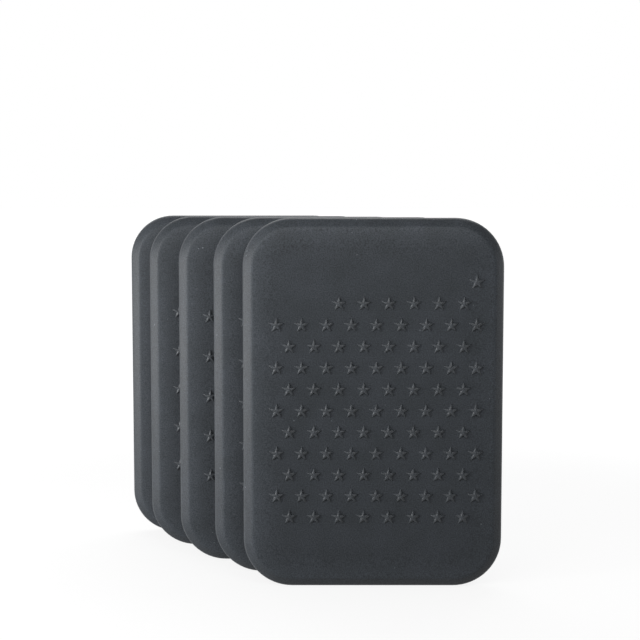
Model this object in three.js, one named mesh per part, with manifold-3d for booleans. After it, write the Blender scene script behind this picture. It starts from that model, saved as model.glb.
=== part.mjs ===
// Five moulded foam boards for a collection of pin badges, standing in a staggered row on their
// short edges. Each board is two foam mouldings glued face to face round a stiffener sheet, and
// its front moulding carries a field of raised five-point stars.
// Lengths are in millimetres. +Z is up and the star faces look along -Y.

import * as THREE from 'three';
import { mergeGeometries, mergeVertices } from 'three/addons/utils/BufferGeometryUtils.js';
import Module from 'manifold-3d';

// Board
const BOARD_WIDTH = 133.4;
const BOARD_HEIGHT = 190.5;
const BOARD_THICKNESS = 12.7;
const CORNER_RADIUS = 25;

// Bevelled rim round both faces, with its two edges eased
const BEVEL_WIDTH = 4.6;
const BEVEL_DEPTH = 2.8;
const EDGE_EASE = 0.9;

// Seam between the mouldings, and the stiffener sheet in its pockets
const GLUE_LINE = 0.3;
const SHEET_THICKNESS = 1;
const SHEET_CLEARANCE = 0.3;
const SHEET_MARGIN = 12;
const SHARPEST_CORNER = 1;

// Stars on a triangular lattice, with an empty band above and below the field
const STAR_PITCH = 12.7;
const STAR_RADIUS = 3.85;
const STAR_POINTS = 5;
const STAR_WAIST_RADIUS = 1.7;
const STAR_RELIEF = 1;
const STAR_ROOT = 0.4;
// From the edges to the outermost star centres, exact at the left and foot and least at the others
const FIELD_LEFT_MARGIN = 17.45;
const FIELD_RIGHT_MARGIN = 14;
const FIELD_HEAD_MARGIN = 30;
const FIELD_FOOT_MARGIN = 37.1;
// Lattice places left empty at the left end of the highest rows
const EMPTY_PLACES = [8, 2];

// Row of boards: the clear aisle in front of each board, and its step to the left
const AISLE_TO_2 = 15.3;
const AISLE_TO_3 = 12.3;
const AISLE_TO_4 = 20.3;
const AISLE_TO_5 = 20.3;
const STEP_TO_2 = 17;
const STEP_TO_3 = 21;
const STEP_TO_4 = 20;
const STEP_TO_5 = 15;

// Straight steps in each round corner are twice this number
const ARC_DIVISIONS = 3;

const wasm = await Module();
wasm.setup();

// Closed solid from a geometry, with its shared vertices merged.
function toSolid(geometry) {
  const bare = geometry.clone();
  bare.deleteAttribute('normal');
  bare.deleteAttribute('uv');
  const merged = mergeVertices(bare);
  return new wasm.Manifold(new wasm.Mesh({
    numProp: 3,
    vertProperties: new Float32Array(merged.attributes.position.array),
    triVerts: new Uint32Array(merged.index.array),
  }));
}

// Geometry with flat facets from a solid.
function toGeometry(solid) {
  const mesh = solid.getMesh();
  const geometry = new THREE.BufferGeometry();
  geometry.setAttribute('position', new THREE.BufferAttribute(mesh.vertProperties, 3));
  geometry.setIndex(new THREE.BufferAttribute(mesh.triVerts, 1));
  const facets = geometry.toNonIndexed();
  facets.computeVertexNormals();
  return facets;
}

// Board outline drawn in by an inset, in X and Y, with its foot on Y = 0.
function boardOutline(inset) {
  const radius = Math.max(CORNER_RADIUS - inset, SHARPEST_CORNER);
  const cornerX = BOARD_WIDTH / 2 - inset - radius;
  const lowY = inset + radius;
  const highY = BOARD_HEIGHT - inset - radius;
  const outline = new THREE.Shape();
  outline.absarc(cornerX, lowY, radius, -Math.PI / 2, 0);
  outline.absarc(cornerX, highY, radius, 0, Math.PI / 2);
  outline.absarc(-cornerX, highY, radius, Math.PI / 2, Math.PI);
  outline.absarc(-cornerX, lowY, radius, Math.PI, 1.5 * Math.PI);
  return outline;
}

// Section of the rim from the seam to the face: X is the inset, Y the height above mid-thickness.
function rimSection() {
  const faceHeight = BOARD_THICKNESS / 2;
  const shoulder = new THREE.Vector2(0, faceHeight - BEVEL_DEPTH);
  const brow = new THREE.Vector2(BEVEL_WIDTH, faceHeight);
  const slope = brow.clone().sub(shoulder).normalize().multiplyScalar(EDGE_EASE);
  return [
    new THREE.Vector2(0, GLUE_LINE / 2),
    shoulder.clone().sub(new THREE.Vector2(0, EDGE_EASE)),
    shoulder.clone().add(slope),
    brow.clone().sub(slope),
    brow.clone().add(new THREE.Vector2(EDGE_EASE, 0)),
  ];
}

// Closed skin through a stack of board outlines, one for each point of the rim section.
function loftRim(section) {
  const rings = section.map(({ x }) => boardOutline(x).getPoints(ARC_DIVISIONS));
  const count = rings[0].length;
  const positions = rings.flatMap((ring, level) => ring.flatMap(({ x, y }) => [x, y, section[level].y]));
  const index = [];
  for (let level = 0; level + 1 < rings.length; level++) {
    for (let k = 0; k < count; k++) {
      const here = level * count + k;
      const next = level * count + (k + 1) % count;
      index.push(here, next, next + count, here, next + count, here + count);
    }
  }
  const top = (rings.length - 1) * count;
  for (const [a, b, c] of THREE.ShapeUtils.triangulateShape(rings[0], [])) {
    index.push(a, c, b, top + a, top + b, top + c);
  }
  const geometry = new THREE.BufferGeometry();
  geometry.setAttribute('position', new THREE.Float32BufferAttribute(positions, 3));
  geometry.setIndex(index);
  return geometry;
}

// Flat plate with the board's outline, centred on mid-thickness.
function plate(inset, thickness) {
  const shape = boardOutline(inset);
  const options = { depth: thickness, bevelEnabled: false, curveSegments: ARC_DIVISIONS };
  return new THREE.ExtrudeGeometry(shape, options).translate(0, 0, -thickness / 2);
}

// Ridged star with one tip up: a low cone whose every second foot corner is drawn in. Its foot
// lies below the face, so the tips have their full radius where the star leaves the face.
function star() {
  const height = STAR_RELIEF + STAR_ROOT;
  const spread = height / STAR_RELIEF;
  const cone = new THREE.ConeGeometry(STAR_RADIUS * spread, height, 2 * STAR_POINTS);
  cone.translate(0, height / 2 - STAR_ROOT, 0).rotateX(Math.PI / 2);
  const corners = cone.attributes.position;
  for (let k = 0; k < corners.count; k++) {
    const turn = Math.atan2(corners.getX(k), corners.getY(k)) / (Math.PI / STAR_POINTS);
    if (Math.abs(Math.round(turn)) % 2 === 1) {
      const shrink = STAR_WAIST_RADIUS / STAR_RADIUS;
      corners.setXY(k, corners.getX(k) * shrink, corners.getY(k) * shrink);
    }
  }
  return cone;
}

// Centres of the stars. The lattice rows are half a pitch out of step, and long and short in turn.
function starCentres() {
  const rowPitch = STAR_PITCH * Math.sqrt(3) / 2;
  const columns = Math.floor((BOARD_WIDTH - FIELD_LEFT_MARGIN - FIELD_RIGHT_MARGIN) / STAR_PITCH) + 1;
  const rows = Math.floor((BOARD_HEIGHT - FIELD_HEAD_MARGIN - FIELD_FOOT_MARGIN) / rowPitch) + 1;
  const centres = [];
  for (let row = 0; row < rows; row++) {
    const places = columns - row % 2;
    const first = FIELD_LEFT_MARGIN - BOARD_WIDTH / 2 + STAR_PITCH * (row % 2) / 2;
    for (let place = EMPTY_PLACES[row] ?? 0; place < places; place++) {
      const height = FIELD_FOOT_MARGIN + (rows - 1 - row) * rowPitch;
      centres.push(new THREE.Vector2(first + place * STAR_PITCH, height));
    }
  }
  return centres;
}

// Pocket for the stiffener sheet, half of it in each moulding.
const pocket = toSolid(plate(SHEET_MARGIN - SHEET_CLEARANCE, SHEET_THICKNESS + 2 * SHEET_CLEARANCE));
const plainMoulding = toSolid(loftRim(rimSection())).subtract(pocket);

const oneStar = star();
const starField = mergeGeometries(starCentres().map(
  ({ x, y }) => oneStar.clone().translate(x, y, BOARD_THICKNESS / 2),
));

const frontGeometry = toGeometry(plainMoulding.add(toSolid(starField)));
const backGeometry = toGeometry(plainMoulding).rotateY(Math.PI);
const sheetGeometry = plate(SHEET_MARGIN, SHEET_THICKNESS);

const foam = new THREE.MeshStandardMaterial({ color: 0x3a3d41, roughness: 0.85, metalness: 0 });
const plastic = new THREE.MeshStandardMaterial({ color: 0xd8d8d4, roughness: 0.6, metalness: 0 });

function named(name, geometry, material) {
  const mesh = new THREE.Mesh(geometry, material);
  mesh.name = name;
  return mesh;
}

// Boards, turned upright, each one aisle behind the last and a step to its left.
const boardSet = new THREE.Group();
const aisles = [AISLE_TO_2, AISLE_TO_3, AISLE_TO_4, AISLE_TO_5];
const steps = [STEP_TO_2, STEP_TO_3, STEP_TO_4, STEP_TO_5];
let sideways = 0;
let frontFace = 0;
for (let number = 1; number <= aisles.length + 1; number++) {
  const board = new THREE.Group();
  board.rotation.x = Math.PI / 2;
  board.position.set(sideways, frontFace + BOARD_THICKNESS / 2, 0);
  board.add(named(`front_moulding_${number}`, frontGeometry, foam));
  board.add(named(`stiffener_sheet_${number}`, sheetGeometry, plastic));
  board.add(named(`back_moulding_${number}`, backGeometry, foam));
  boardSet.add(board);
  sideways -= steps[number - 1] ?? 0;
  frontFace += BOARD_THICKNESS + (aisles[number - 1] ?? 0);
}

// Origin under the middle of the whole row.
boardSet.position.set(-sideways / 2, (STAR_RELIEF - frontFace) / 2, 0);

export default boardSet;
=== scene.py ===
"""Five moulded foam pin badge boards standing in a staggered row, dressed for their picture.

Each board's two foam mouldings are made here with soft edges, pillowed faces and domed stars, and
stand for the CAD's plain ones. Lengths are in metres, +Z is up and the star faces look along -Y.
"""

import math

import bmesh
import bpy
from mathutils import Matrix, Vector


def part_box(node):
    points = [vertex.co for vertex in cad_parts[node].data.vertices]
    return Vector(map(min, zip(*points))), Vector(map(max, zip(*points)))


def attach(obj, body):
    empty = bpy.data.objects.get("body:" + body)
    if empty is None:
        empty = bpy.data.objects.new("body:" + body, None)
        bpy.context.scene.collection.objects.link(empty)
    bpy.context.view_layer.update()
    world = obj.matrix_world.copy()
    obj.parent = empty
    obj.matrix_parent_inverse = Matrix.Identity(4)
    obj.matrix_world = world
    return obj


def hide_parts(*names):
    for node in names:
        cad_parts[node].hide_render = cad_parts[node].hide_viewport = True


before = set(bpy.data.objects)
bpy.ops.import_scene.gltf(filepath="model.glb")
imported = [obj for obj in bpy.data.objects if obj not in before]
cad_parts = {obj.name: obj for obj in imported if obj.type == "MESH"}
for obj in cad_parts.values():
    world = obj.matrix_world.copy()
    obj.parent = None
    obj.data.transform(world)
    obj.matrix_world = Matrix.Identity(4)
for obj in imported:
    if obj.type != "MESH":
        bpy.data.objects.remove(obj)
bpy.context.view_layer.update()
scene = bpy.context.scene

MM = 0.001

# Camera, at the photograph's viewing angle: its place, and how far it dips and turns in degrees
CAMERA_PLACE = (9.92 * MM, -756.76 * MM, 198.29 * MM)
CAMERA_DIP = 4.914
CAMERA_TURN = 0.05
CAMERA_SENSOR = 36
CAMERA_LENS = 76.96

camera = bpy.data.objects.new("camera", bpy.data.cameras.new("camera"))
scene.collection.objects.link(camera)
scene.camera = camera
camera.location = CAMERA_PLACE
camera.rotation_euler = (math.radians(90 - CAMERA_DIP), 0, math.radians(CAMERA_TURN))
camera.data.sensor_width = CAMERA_SENSOR
camera.data.lens = CAMERA_LENS

# Board, as in the CAD part
BOARDS = 5
BOARD_WIDTH = 133.4 * MM
BOARD_HEIGHT = 190.5 * MM
BOARD_THICKNESS = 12.7 * MM
CORNER_RADIUS = 25 * MM
GLUE_LINE = 0.3 * MM
POCKET_MARGIN = 11.7 * MM
POCKET_DEPTH = 0.65 * MM

# Bevel from the shoulder to the brow, and from there the soft pillow of the face, which rises in
# rings and levels out towards the middle
BEVEL_WIDTH = 4.7 * MM
BEVEL_RISE = 3.3 * MM
PILLOW_RISE = 1.1 * MM
PILLOW_REACH = 7 * MM
PILLOW_RINGS = (1.5 * MM, 2 * MM, 3 * MM, 4 * MM, 5.5 * MM)

# Soft edges: where the bevel meets the side, where it meets the face, and at the seam
SHOULDER_EASE = 1.4 * MM
BROW_EASE = 0.9 * MM
SEAM_EASE = 0.35 * MM
EASE_STEPS = 4
CORNER_STEPS = 16

# Painted highlight along the brow: paler up to this far in over the face and out over the bevel
HIGHLIGHT_IN = 10 * MM
HIGHLIGHT_OUT = 1.2 * MM

# Stars on a triangular lattice. The field lies a little right of the board's middle, and its foot
# is the height of the lowest row.
STAR_PITCH = 12.7 * MM
STAR_POINTS = 5
STAR_ROWS = 12
STAR_COLUMNS = 9
FIELD_SHIFT = 1.55 * MM
FIELD_FOOT = 37.1 * MM
# Lattice places left empty at the left end of the two highest rows
EMPTY_PLACES = (8, 2)
# Star at its root, which is sunk in the face, with blunt tips
STAR_RADIUS = 4.6 * MM
STAR_WAIST = 1.92 * MM
STAR_TIP = 0.42 * MM
STAR_ROOT = 0.3 * MM
# Wall and shoulder of a star: how far each step draws it in, and how far it rises
STAR_STEPS = ((0.78, 0.8 * MM), (0.68, 0.4 * MM))
STAR_CROWN = 0.2 * MM
# A vertex of a star that is this near its axis is the centre of its crown
STAR_CENTRE = 0.1 * MM

# Place of the stars' foam among a moulding's materials: a shinier copy, painted paler
STAR_FOAM_INDEX = 1


def picked(geom, kind):
    """The items of one kind, such as bmesh.types.BMVert, in an operator's result."""
    return [g for g in geom if isinstance(g, kind)]


def inset_of(point):
    """How far a point of a moulding lies inside the board's outline."""
    x = abs(point.x) - BOARD_WIDTH / 2 + CORNER_RADIUS
    y = abs(point.y - BOARD_HEIGHT / 2) - BOARD_HEIGHT / 2 + CORNER_RADIUS
    return CORNER_RADIUS - math.hypot(max(x, 0), max(y, 0)) - min(max(x, y), 0)


def highlight_at(point):
    """Painted highlight at a point of a moulding's outer face: 1 at the brow, 0 away from it."""
    past = inset_of(point) - BEVEL_WIDTH
    return max(0, 1 - max(past / HIGHLIGHT_IN, -past / HIGHLIGHT_OUT))


def plain_moulding():
    """One moulding lying face up, with the board's mid-thickness at Z = 0 and its foot on Y = 0.
    Its painted brow highlight is kept as a value of each vertex, for the foam's material."""
    seam = GLUE_LINE / 2
    shoulder = BOARD_THICKNESS / 2 - PILLOW_RISE - BEVEL_RISE
    bm = bmesh.new()
    painted_highlight = bm.verts.layers.float.new("painted_highlight")
    bmesh.ops.create_grid(bm, x_segments=1, y_segments=1, size=0.5)
    bmesh.ops.scale(bm, vec=(BOARD_WIDTH, BOARD_HEIGHT, 1), verts=bm.verts)
    bmesh.ops.translate(bm, vec=(0, BOARD_HEIGHT / 2, seam), verts=bm.verts)
    bmesh.ops.bevel(bm, geom=bm.verts[:], offset=CORNER_RADIUS, segments=CORNER_STEPS,
                    profile=0.5, affect="VERTICES", material=-1)
    inner = bm.faces[:][0]

    # Side wall up to the shoulder, bevel up to the brow, and the pillow's rings
    wall = bmesh.ops.extrude_face_region(bm, geom=[inner], use_keep_orig=True)["geom"]
    face = picked(wall, bmesh.types.BMFace)[0]
    bmesh.ops.translate(bm, vec=(0, 0, shoulder - seam), verts=picked(wall, bmesh.types.BMVert))
    bmesh.ops.recalc_face_normals(bm, faces=bm.faces)
    shoulder_edges = face.edges[:]
    bmesh.ops.inset_region(bm, faces=[face], thickness=BEVEL_WIDTH, depth=BEVEL_RISE,
                           use_even_offset=True)
    brow_edges = face.edges[:]
    levels = [1 - math.exp(-sum(PILLOW_RINGS[:k]) / PILLOW_REACH)
              for k in range(len(PILLOW_RINGS) + 1)]
    for ring, low, high in zip(PILLOW_RINGS, levels, levels[1:]):
        bmesh.ops.inset_region(bm, faces=[face], thickness=ring, use_even_offset=True,
                               depth=PILLOW_RISE * (high - low) / levels[-1])

    # Pocket for the stiffener sheet, sunk in the seam face. A face stays across its mouth, unseen.
    seam_edges = inner.edges[:]
    bmesh.ops.inset_region(bm, faces=[inner], thickness=POCKET_MARGIN, use_even_offset=True)
    sunk = bmesh.ops.extrude_face_region(bm, geom=[inner])["geom"]
    bmesh.ops.translate(bm, vec=(0, 0, POCKET_DEPTH), verts=picked(sunk, bmesh.types.BMVert))

    for edges, ease in ((shoulder_edges, SHOULDER_EASE), (brow_edges, BROW_EASE),
                        (seam_edges, SEAM_EASE)):
        bmesh.ops.bevel(bm, geom=edges, offset=ease, segments=EASE_STEPS, profile=0.5,
                        affect="EDGES", material=-1)
    # Faces with more than four corners are the large flat ones
    for f in bm.faces:
        f.smooth = len(f.verts) == 4
    for v in bm.verts:
        # Painted highlight on the brow, kept on each vertex of the outer face
        v[painted_highlight] = highlight_at(v.co) if v.co.z > shoulder else 0
    return bm


def star_places():
    """Centres of the stars, from the highest row down. Rows are long and short in turn."""
    row_pitch = STAR_PITCH * math.sqrt(3) / 2
    for row in range(STAR_ROWS):
        places = STAR_COLUMNS - row % 2
        empty = EMPTY_PLACES[row] if row < len(EMPTY_PLACES) else 0
        for place in range(empty, places):
            yield Vector((FIELD_SHIFT + STAR_PITCH * (place - (places - 1) / 2),
                          FIELD_FOOT + row_pitch * (STAR_ROWS - 1 - row), 0))


def at_waist(vert):
    """Whether a star's vertex is at a waist, between two arms, or at the centre, where waists meet
    and where the angle would be no more than rounding."""
    if math.hypot(vert.co.x, vert.co.y) < STAR_CENTRE:
        return True
    return round(math.atan2(vert.co.x, vert.co.y) / math.pi * STAR_POINTS) % 2 == 1


def add_star(bm):
    """A domed star with one tip up, over the foot of the board's middle. Returns its faces."""
    corners = bmesh.ops.create_circle(
        bm, cap_ends=True, segments=2 * STAR_POINTS, radius=STAR_RADIUS,
        matrix=Matrix.Translation((0, 0, BOARD_THICKNESS / 2 - STAR_ROOT)))["verts"]
    draw_in = STAR_WAIST / STAR_RADIUS
    waist = [v for v in corners if at_waist(v)]
    bmesh.ops.scale(bm, vec=(draw_in, draw_in, 1), verts=waist)
    bmesh.ops.bevel(bm, geom=[v for v in corners if v not in waist], offset=STAR_TIP, segments=1,
                    profile=0.5, affect="VERTICES", material=-1)
    top = waist[0].link_faces[0]
    # These edges rise with the first step, so the face made on them last lies inside the star, at
    # the top of its wall. The foot, sunk in the moulding's face, stays open.
    wall_top = top.edges[:]
    skin = []
    for draw_in, up in STAR_STEPS:
        skin += bmesh.ops.inset_region(bm, faces=[top], thickness=0, depth=up,
                                       use_boundary=True)["faces"]
        bmesh.ops.scale(bm, vec=(draw_in, draw_in, 1), verts=top.verts)
    skin += bmesh.ops.poke(bm, faces=[top], offset=STAR_CROWN)["faces"]
    for f in skin:
        f.smooth = True
        # Stars take the shinier copy of the foam, painted paler
        f.material_index = STAR_FOAM_INDEX
        # Crisp crease at each waist, up to the centre
        for edge in f.edges:
            edge.smooth = not all(at_waist(v) for v in edge.verts)
    return skin + bmesh.ops.contextual_create(bm, geom=wall_top)["faces"]


def starred_moulding():
    """The front moulding, with its field of stars."""
    bm = plain_moulding()
    first, *others = star_places()
    star = add_star(bm)
    for place in others:
        copy = bmesh.ops.duplicate(bm, geom=star)["geom"]
        bmesh.ops.translate(bm, vec=place, verts=picked(copy, bmesh.types.BMVert))
    bmesh.ops.translate(bm, vec=first, verts=list({v for f in star for v in f.verts}))
    return bm


def mesh_of(bm, name):
    """A mesh from a finished bmesh, with its normals out."""
    bmesh.ops.recalc_face_normals(bm, faces=bm.faces)
    mesh = bpy.data.meshes.new(name)
    bm.to_mesh(mesh)
    bm.free()
    return mesh


def linear(code):
    """Linear colour from an sRGB hex code."""
    parts = [int(code[k:k + 2], 16) / 255 for k in (0, 2, 4)]
    return [p / 12.92 if p <= 0.04045 else ((p + 0.055) / 1.055) ** 2.4 for p in parts] + [1]


def add(tree, kind, inputs, **settings):
    """Adds a node. Each input is a number, a colour or another node's output."""
    node = tree.nodes.new("ShaderNode" + kind)
    for name, value in settings.items():
        setattr(node, name, value)
    for name, value in inputs.items():
        if isinstance(value, bpy.types.NodeSocket):
            tree.links.new(value, node.inputs[name])
        else:
            node.inputs[name].default_value = value
    return node


def new_material(name):
    """A material and its node tree, still empty."""
    material = bpy.data.materials.new(name)
    material.use_nodes = True
    material.node_tree.nodes.clear()
    return material, material.node_tree


# Foam skin. Its cells are about 0.4 mm across, and are drawn a little coarser so that they show. It
# has patches that cooled a little faster, and rare specks of mould powder, under 1 mm across.
FOAM_CELL = 0.6 * MM
FOAM_PATCH = 14 * MM
POWDER_SPACING = 1.6 * MM
# Most of a noise's values lie between these
NOISE_LOW, NOISE_HIGH = 0.3, 0.7
# Share of the tone that a cell's pit and its rim have, and that the painted brow highlight has
PIT_TONE, RIM_TONE = 0.62, 1.38
HIGHLIGHT_TONE = 1.34
# Powder noise at which a speck starts, and at which it is full
SPECK_START, SPECK_FULL = 0.86, 0.9
SPECK_COLOUR = "5c6064"
# Depth of the cells, and how strongly it shows
CELL_DEPTH = 0.15 * MM
CELL_STRENGTH = 0.35
FOAM_IOR = 1.48


def eva_foam(name, dark, light, smooth, rough, shine):
    """EVA foam pressed in a warm mould: a dark matte skin of fine closed cells, with a slightly
    uneven tone, a painted brow highlight and a few pale specks of dust and mould powder."""
    material, tree = new_material(name)
    place = add(tree, "TexCoord", {}).outputs["Object"]
    grain = add(tree, "TexNoise", {"Vector": place, "Scale": 1 / FOAM_CELL, "Detail": 2})
    patches = add(tree, "TexNoise", {"Vector": place, "Scale": 1 / FOAM_PATCH, "Detail": 3})
    tone = add(tree, "ValToRGB", {"Fac": patches.outputs["Fac"]})
    low, high = tone.color_ramp.elements
    low.position, low.color = NOISE_LOW, linear(dark)
    high.position, high.color = NOISE_HIGH, linear(light)
    pits = add(tree, "MapRange", {"Value": grain.outputs["Fac"], "From Min": NOISE_LOW,
                                  "From Max": NOISE_HIGH, "To Min": PIT_TONE, "To Max": RIM_TONE})
    # Painted highlight: paler along the brow, where the bevel meets the face
    painted_highlight = add(tree, "Attribute", {}, attribute_name="painted_highlight")
    pale = add(tree, "MapRange", {"Value": painted_highlight.outputs["Fac"], "To Min": 1, "To Max": HIGHLIGHT_TONE})
    share = add(tree, "Math", {0: pits.outputs["Result"], 1: pale.outputs["Result"]},
                operation="MULTIPLY")
    clean = add(tree, "VectorMath", {0: tone.outputs["Color"], 1: share.outputs[0]},
                operation="MULTIPLY")
    powder = add(tree, "TexNoise", {"Vector": place, "Scale": 1 / POWDER_SPACING, "Detail": 0})
    specks = add(tree, "MapRange", {"Value": powder.outputs["Fac"], "From Min": SPECK_START,
                                    "From Max": SPECK_FULL})
    skin = add(tree, "VectorMath", {0: specks.outputs["Result"], 1: linear(SPECK_COLOUR)[:3],
                                    2: clean.outputs["Vector"]}, operation="MULTIPLY_ADD")
    bump = add(tree, "Bump", {"Height": grain.outputs["Fac"], "Strength": CELL_STRENGTH,
                              "Distance": CELL_DEPTH})
    roughness = add(tree, "MapRange", {"Value": patches.outputs["Fac"], "To Min": smooth,
                                       "To Max": rough})
    shader = add(tree, "BsdfPrincipled", {
        "Base Color": skin.outputs["Vector"], "Roughness": roughness.outputs["Result"],
        "Normal": bump.outputs["Normal"], "IOR": FOAM_IOR, "Specular IOR Level": shine})
    add(tree, "OutputMaterial", {"Surface": shader.outputs["BSDF"]})
    return material


# Sheet: spacing of its draw lines, their stretch up the sheet, their depth and how strongly that
# shows, and the range of its roughness
DRAW_SPACING = 1.5 * MM
DRAW_STRETCH = 0.02
DRAW_DEPTH = 0.05 * MM
DRAW_STRENGTH = 0.1
SHEET_SMOOTH, SHEET_ROUGH = 0.5, 0.6
SHEET_IOR = 1.49


def polypropylene_sheet():
    """Extruded polypropylene sheet: off-white, smooth and waxy, with faint draw lines."""
    material, tree = new_material("polypropylene_sheet")
    place = add(tree, "TexCoord", {}).outputs["Object"]
    stretched = add(tree, "Mapping", {"Vector": place, "Scale": (1, 1, DRAW_STRETCH)})
    lines = add(tree, "TexNoise", {"Vector": stretched.outputs["Vector"],
                                   "Scale": 1 / DRAW_SPACING})
    tone = add(tree, "ValToRGB", {"Fac": lines.outputs["Fac"]})
    low, high = tone.color_ramp.elements
    low.color, high.color = linear("d4d4cf"), linear("dcdcd8")
    bump = add(tree, "Bump", {"Height": lines.outputs["Fac"], "Strength": DRAW_STRENGTH,
                              "Distance": DRAW_DEPTH})
    roughness = add(tree, "MapRange", {"Value": lines.outputs["Fac"], "To Min": SHEET_SMOOTH,
                                       "To Max": SHEET_ROUGH})
    shader = add(tree, "BsdfPrincipled", {
        "Base Color": tone.outputs["Color"], "Roughness": roughness.outputs["Result"],
        "Normal": bump.outputs["Normal"], "IOR": SHEET_IOR})
    add(tree, "OutputMaterial", {"Surface": shader.outputs["BSDF"]})
    return material


# Foam as it leaves the mould, and a smoother, shinier copy for the raised stars, so that their
# lit edges are crisper. That copy is painted a little paler, a painted highlight on the stars.
moulded = eva_foam("eva_foam_moulded", dark="363a3e", light="3c4045", smooth=0.44, rough=0.54,
                   shine=0.25)
star_foam_painted_paler = eva_foam("eva_foam_stars_painted_paler", dark="383c40", light="3e4247", smooth=0.38, rough=0.46,
                  shine=0.43)
sheet = polypropylene_sheet()

# Boards: each stands on its CAD place, with its back turned round
front_mesh = mesh_of(starred_moulding(), "foam_front")
back_mesh = mesh_of(plain_moulding(), "foam_back")
upright = Matrix.Rotation(math.pi / 2, 4, "X")
for number in range(1, BOARDS + 1):
    low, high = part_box(f"back_moulding_{number}")
    stand = Matrix.Translation(((low.x + high.x) / 2, high.y - BOARD_THICKNESS / 2, 0))
    for side, master, turn in (("front", front_mesh, 0), ("back", back_mesh, math.pi)):
        mesh = master.copy()
        mesh.transform(stand @ Matrix.Rotation(turn, 4, "Z") @ upright)
        mesh.materials.append(moulded)
        mesh.materials.append(star_foam_painted_paler)
        piece = bpy.data.objects.new(f"foam_{side}_{number}", mesh)
        scene.collection.objects.link(piece)
        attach(piece, f"board_{number}")
        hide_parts(f"{side}_moulding_{number}")
    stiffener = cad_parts[f"stiffener_sheet_{number}"].data
    stiffener.materials.clear()
    stiffener.materials.append(sheet)
for mesh in (front_mesh, back_mesh):
    bpy.data.meshes.remove(mesh)


# Light from the dim room in front and from the pale backdrop behind. One fades into the other
# between two directions, given by their part along Y.
ROOM = 0.03
BACKDROP = 0.5
BACKDROP_START, BACKDROP_FULL = -0.2, 0.3
# Floor: half its side, and the colour that takes the shadow
FLOOR_SIZE = 40
FLOOR_COLOUR = "6c6c6c"
# The floor's glow to the eye and in reflections, near the boards and farther off, and how far
# these reach. Lower near the boards, it paints a soft shade around their base.
FLOOR_NEAR, FLOOR_FAR = 0.85, 1.0
NEAR_REACH, FAR_REACH = 0.25, 0.7

# Floor: pale paper that shows white to the eye and in reflections, and keeps the boards' soft
# shadow
floor_bm = bmesh.new()
bmesh.ops.create_grid(floor_bm, x_segments=1, y_segments=1, size=FLOOR_SIZE)
floor = bpy.data.objects.new("floor", mesh_of(floor_bm, "floor"))
scene.collection.objects.link(floor)
paper, tree = new_material("white_paper")
path = add(tree, "LightPath", {})
seen = add(tree, "Math", {0: path.outputs["Is Camera Ray"], 1: path.outputs["Is Glossy Ray"]},
           operation="MAXIMUM")
seen = add(tree, "Math", {0: seen.outputs[0], 1: path.outputs["Is Transmission Ray"]},
           operation="MAXIMUM")
place = add(tree, "TexCoord", {}).outputs["Object"]
reach = add(tree, "VectorMath", {0: place}, operation="LENGTH")
# Painted shade: the glow is lower near the boards than farther off
fade = add(tree, "MapRange", {"Value": reach.outputs["Value"], "From Min": NEAR_REACH,
                              "From Max": FAR_REACH, "To Min": FLOOR_NEAR, "To Max": FLOOR_FAR},
           interpolation_type="SMOOTHSTEP")
lift = add(tree, "Math", {0: seen.outputs[0], 1: fade.outputs["Result"]}, operation="MULTIPLY")
matte = add(tree, "BsdfDiffuse", {"Color": linear(FLOOR_COLOUR)})
glow = add(tree, "Emission", {"Strength": lift.outputs[0]})
both = add(tree, "AddShader", {0: matte.outputs[0], 1: glow.outputs[0]})
add(tree, "OutputMaterial", {"Surface": both.outputs[0]})
floor.data.materials.append(paper)

# Surroundings: white to the eye, and the backdrop also in reflections
world = bpy.data.worlds.new("studio")
scene.world = world
world.use_nodes = True
tree = world.node_tree
tree.nodes.clear()
path = add(tree, "LightPath", {})
way = add(tree, "SeparateXYZ", {"Vector": add(tree, "TexCoord", {}).outputs["Generated"]})
behind = add(tree, "MapRange", {"Value": way.outputs["Y"], "From Min": BACKDROP_START,
                                "From Max": BACKDROP_FULL}, interpolation_type="SMOOTHSTEP")
mirrored = add(tree, "Math", {0: path.outputs["Is Glossy Ray"],
                              1: path.outputs["Is Transmission Ray"]}, operation="MAXIMUM")
mirrored = add(tree, "Math", {0: mirrored.outputs[0], 1: behind.outputs["Result"]},
               operation="MULTIPLY")
seen = add(tree, "Math", {0: path.outputs["Is Camera Ray"], 1: mirrored.outputs[0]},
           operation="MAXIMUM")
light = add(tree, "MapRange", {"Value": behind.outputs["Result"],
                               "To Min": ROOM, "To Max": BACKDROP})
level = add(tree, "Math", {0: seen.outputs[0], 1: light.outputs["Result"]}, operation="MAXIMUM")
room = add(tree, "Background", {"Color": (1, 1, 1, 1), "Strength": level.outputs[0]})
add(tree, "OutputWorld", {"Surface": room.outputs[0]})

# Soft light boxes: name, place, point lit, width, height, power in watts. The points lit are the
# middle of the row and the front board's upper edge.
MIDDLE = (0, -0.03, 0.1)
UPPER_EDGE = (0.05, -0.06, 0.19)
LIGHTS = (
    ("window_left", (-0.87, -0.53, 0.34), MIDDLE, 0.2, 0.25, 3.7),
    ("window_low", (-0.55, -0.12, 0.1), MIDDLE, 0.4, 0.2, 2.3),
    ("front_left", (-0.3, -0.5, 0.4), MIDDLE, 0.3, 0.3, 0.6),
    ("overhead", (0.02, -0.34, 0.33), UPPER_EDGE, 0.4, 0.15, 0.56),
    ("overhead_back", (0, 0.38, 0.75), MIDDLE, 0.8, 0.4, 3.2),
    ("right_fill", (0.75, 0.1, 0.15), MIDDLE, 0.4, 0.4, 1.2),
)
for name, spot, aim, wide, tall, power in LIGHTS:
    lamp = bpy.data.lights.new(name, "AREA")
    lamp.shape = "RECTANGLE"
    lamp.size = wide
    lamp.size_y = tall
    lamp.energy = power
    box = bpy.data.objects.new(name, lamp)
    scene.collection.objects.link(box)
    box.location = spot
    box.rotation_euler = (Vector(aim) - Vector(spot)).to_track_quat("-Z", "Y").to_euler()

scene.view_settings.view_transform = "Standard"
